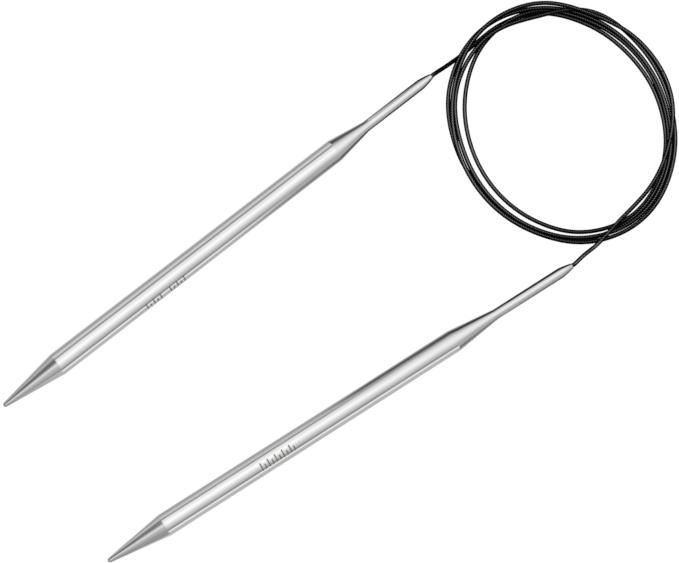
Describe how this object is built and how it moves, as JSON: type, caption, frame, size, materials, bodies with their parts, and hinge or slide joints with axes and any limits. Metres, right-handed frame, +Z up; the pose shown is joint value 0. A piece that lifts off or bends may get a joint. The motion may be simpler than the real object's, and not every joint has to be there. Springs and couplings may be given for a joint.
{
  "type": "circular knitting needle",
  "caption": "Fixed circular knitting needle: hollow metal needles with cone points, joined by a nylon-covered steel cable wound in a coil; the cable's ends unroll and the needles lift.",
  "frame": {"origin": "on the table, under the middle of the whole object's bounding box; the coil's middle stands 60.4 mm along +X and 43 mm along +Y from it", "axes": "+Z up from the table; +X points from the needles' side of the coil to its far side, and both needles point to -X and -Y, at 218 and 211 degrees from +X"},
  "size_m": [0.1902, 0.154, 0.0073],
  "materials": {
    "nickel_plate": "bright nickel plate, finely brushed round the shaft",
    "crimp_brass": "plain crimped tube",
    "cable_jacket": "black nylon with the strands of the wire showing through as a fine twist",
    "core_wire": "stranded spring steel wire"
  },
  "bodies": {
    "coil": {"cable_coil_jacket": "cable_jacket", "cable_coil_core": "core_wire"},
    "bend_a_1": {"cable_a_bend_1_jacket": "cable_jacket", "cable_a_bend_1_core": "core_wire"},
    "bend_a_2": {"cable_a_bend_2_jacket": "cable_jacket", "cable_a_bend_2_core": "core_wire"},
    "lead_a": {"cable_a_lead_jacket": "cable_jacket", "cable_a_lead_core": "core_wire"},
    "needle_a": {"needle_a_point": "nickel_plate", "needle_a_shaft": "nickel_plate", "needle_a_neck": "nickel_plate", "needle_a_crimp": "crimp_brass", "cable_a_end_jacket": "cable_jacket", "cable_a_end_core": "core_wire"},
    "bend_b_1": {"cable_b_bend_1_jacket": "cable_jacket", "cable_b_bend_1_core": "core_wire"},
    "bend_b_2": {"cable_b_bend_2_jacket": "cable_jacket", "cable_b_bend_2_core": "core_wire"},
    "lead_b": {"cable_b_lead_jacket": "cable_jacket", "cable_b_lead_core": "core_wire"},
    "needle_b": {"needle_b_point": "nickel_plate", "needle_b_shaft": "nickel_plate", "needle_b_neck": "nickel_plate", "needle_b_crimp": "crimp_brass", "cable_b_end_jacket": "cable_jacket", "cable_b_end_core": "core_wire"}
  },
  "joints": [
    {"name": "open_a", "type": "hinge", "parent": "coil", "child": "bend_a_1", "pos_m": [0.08191, 0.06453, 0.00095], "axis": [0, 0, -1], "range_deg": [0, 35]},
    {"name": "open_a_2", "type": "hinge", "parent": "bend_a_1", "child": "bend_a_2", "pos_m": [0.06588, 0.07361, 0.00082], "axis": [0, 0, -1], "range_deg": [0, 35]},
    {"name": "open_a_3", "type": "hinge", "parent": "bend_a_2", "child": "lead_a", "pos_m": [0.04637, 0.07318, 0.00069], "axis": [0, 0, -1], "range_deg": [0, 35]},
    {"name": "lift_a", "type": "hinge", "parent": "lead_a", "child": "needle_a", "pos_m": [0.02415, 0.05686, 0.00354], "axis": [-0.5404, 0.8414, 0], "range_deg": [0, 60]},
    {"name": "open_b", "type": "hinge", "parent": "coil", "child": "bend_b_1", "pos_m": [0.08396, 0.06659, 0.00615], "axis": [0, 0, 1], "range_deg": [0, 35]},
    {"name": "open_b_2", "type": "hinge", "parent": "bend_b_1", "child": "bend_b_2", "pos_m": [0.0938, 0.04885, 0.00627], "axis": [0, 0, 1], "range_deg": [0, 35]},
    {"name": "open_b_3", "type": "hinge", "parent": "bend_b_2", "child": "lead_b", "pos_m": [0.08962, 0.02935, 0.0064], "axis": [0, 0, 1], "range_deg": [0, 35]},
    {"name": "lift_b", "type": "hinge", "parent": "lead_b", "child": "needle_b", "pos_m": [0.06552, 0.004, 0.00436], "axis": [-0.7477, 0.664, 0], "range_deg": [0, 60]}
  ],
  "couplings": [
    {"joint": "open_a_2", "follows": "open_a", "ratio": 1},
    {"joint": "open_a_3", "follows": "open_a", "ratio": 1},
    {"joint": "open_b_2", "follows": "open_b", "ratio": 1},
    {"joint": "open_b_3", "follows": "open_b", "ratio": 1}
  ]
}
